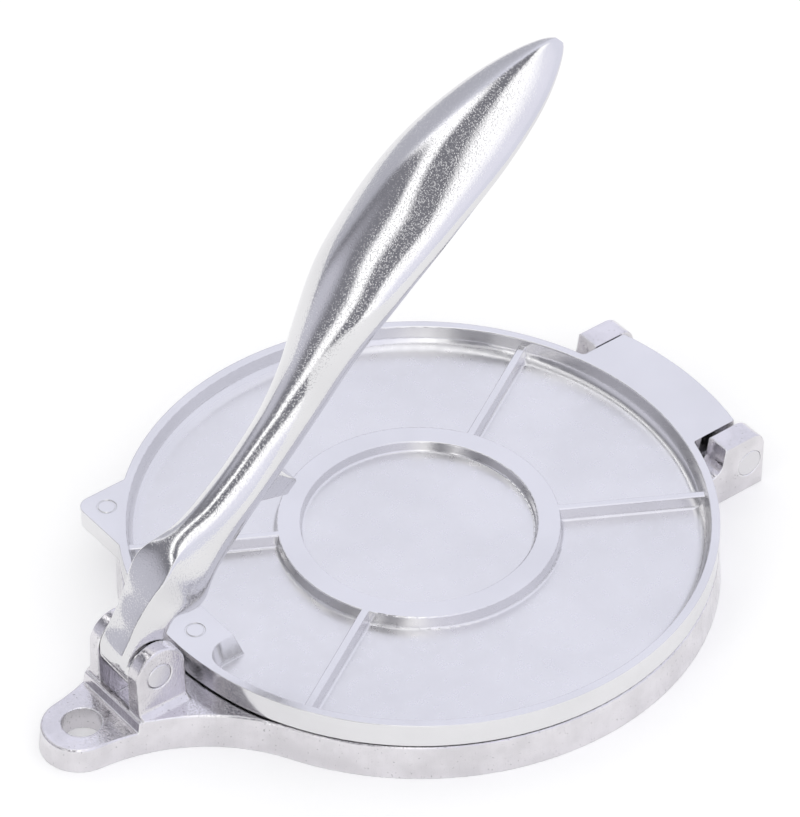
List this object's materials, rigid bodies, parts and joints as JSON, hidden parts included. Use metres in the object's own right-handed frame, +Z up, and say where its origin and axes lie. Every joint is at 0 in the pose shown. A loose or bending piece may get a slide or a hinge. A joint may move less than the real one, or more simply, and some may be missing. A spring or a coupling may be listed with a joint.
{
  "type": "burger press",
  "caption": "Cast aluminium lever press: two round ribbed plates hinged at the back and a long leaf-shaped cam lever pinned to ears at the front, with a hanging tab.",
  "frame": {"origin": "centre of the round base in the plane that the base stands on", "axes": "+Z up out of the table, +Y from the hanging tab and the lever pin towards the plate hinge, +X to the right seen from the tab"},
  "size_m": [0.2076, 0.2786, 0.1993],
  "materials": {
    "cast_aluminium": "polished",
    "lever_aluminium": "polished",
    "pin_metal": "satin"
  },
  "bodies": {
    "base": {"base_plate": "cast_aluminium", "hinge_pin": "pin_metal"},
    "pin": {"lever_pin": "pin_metal"},
    "lever": {"press_lever": "lever_aluminium"},
    "plate": {"top_plate": "cast_aluminium"}
  },
  "joints": [
    {"name": "lever_press", "type": "hinge", "parent": "base", "child": "pin", "pos_m": [0, -0.1185, 0.0273], "axis": [1, 0, 0], "range_deg": [-40, 0]},
    {"name": "lever_swing", "type": "hinge", "parent": "pin", "child": "lever", "pos_m": [0, -0.1185, 0.0273], "axis": [1, 0, 0], "range_deg": [0, 130]},
    {"name": "plate_hinge", "type": "hinge", "parent": "base", "child": "plate", "pos_m": [0, 0.1151, 0.0116], "axis": [-1, 0, 0], "range_deg": [0, 60]}
  ],
  "couplings": [
    {"joint": "plate_hinge", "follows": "lever_swing", "ratio": 0.46}
  ]
}
